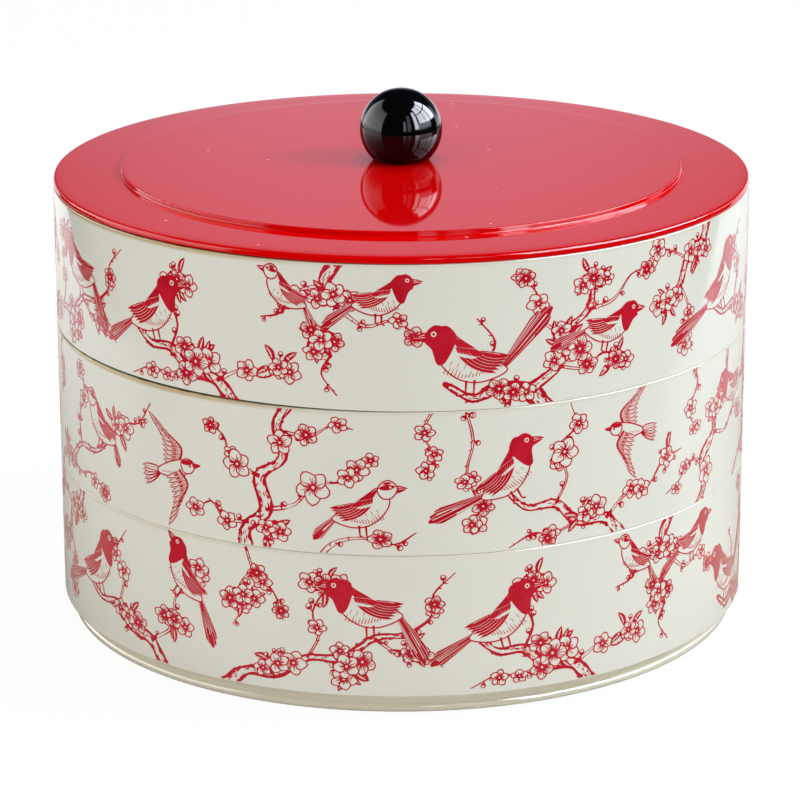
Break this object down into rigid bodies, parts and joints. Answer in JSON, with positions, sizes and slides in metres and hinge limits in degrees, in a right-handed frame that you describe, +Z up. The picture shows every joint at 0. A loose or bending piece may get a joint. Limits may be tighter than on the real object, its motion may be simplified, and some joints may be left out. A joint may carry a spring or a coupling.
{
  "type": "sweetmeat box",
  "caption": "Round stacking sweetmeat box: printed cream trays that nest on one another, loose dividers, a flat red drop-on lid with a raised disc and a black ball knob.",
  "frame": {"origin": "centre of the bottom tray's foot ring, on the surface that the box stands on", "axes": "+Z up along the axis that the trays, lid and knob are turned about; -Y towards the side that the picture shows"},
  "size_m": [0.236, 0.236, 0.1804],
  "materials": {
    "tray_cream": "high gloss cream, printed in crimson with birds on blossoming branches",
    "divider_ivory": "semi-gloss ivory",
    "lid_red": "high gloss red lacquer look",
    "knob_black": "high gloss black",
    "insert_brass": "turned brass",
    "fastener_steel": "bright zinc plated steel"
  },
  "bodies": {
    "bottom_tray": {"tray_bottom": "tray_cream"},
    "bottom_divider": {"divider_bottom": "divider_ivory"},
    "middle_tray": {"tray_middle": "tray_cream"},
    "middle_divider": {"divider_middle": "divider_ivory"},
    "top_tray": {"tray_top": "tray_cream"},
    "top_divider": {"divider_top": "divider_ivory"},
    "lid": {"lid_shell": "lid_red", "lid_knob": "knob_black", "knob_insert": "insert_brass", "knob_screw": "fastener_steel", "knob_washer": "fastener_steel"}
  },
  "joints": [
    {"name": "middle_tray_lift", "type": "slide", "parent": "bottom_tray", "child": "middle_tray", "axis": [0, 0, 1], "range_m": [0, 0.11]},
    {"name": "top_tray_lift", "type": "slide", "parent": "middle_tray", "child": "top_tray", "axis": [0, 0, 1], "range_m": [0, 0.11]},
    {"name": "lid_lift", "type": "slide", "parent": "top_tray", "child": "lid", "axis": [0, 0, 1], "range_m": [0, 0.11]},
    {"name": "bottom_divider_lift", "type": "slide", "parent": "bottom_tray", "child": "bottom_divider", "axis": [0, 0, 1], "range_m": [0, 0.055]},
    {"name": "middle_divider_lift", "type": "slide", "parent": "middle_tray", "child": "middle_divider", "axis": [0, 0, 1], "range_m": [0, 0.055]},
    {"name": "top_divider_lift", "type": "slide", "parent": "top_tray", "child": "top_divider", "axis": [0, 0, 1], "range_m": [0, 0.055]}
  ],
  "couplings": [
    {"joint": "bottom_divider_lift", "follows": "middle_tray_lift", "ratio": 0.5},
    {"joint": "middle_divider_lift", "follows": "top_tray_lift", "ratio": 0.5},
    {"joint": "top_divider_lift", "follows": "lid_lift", "ratio": 0.5}
  ]
}
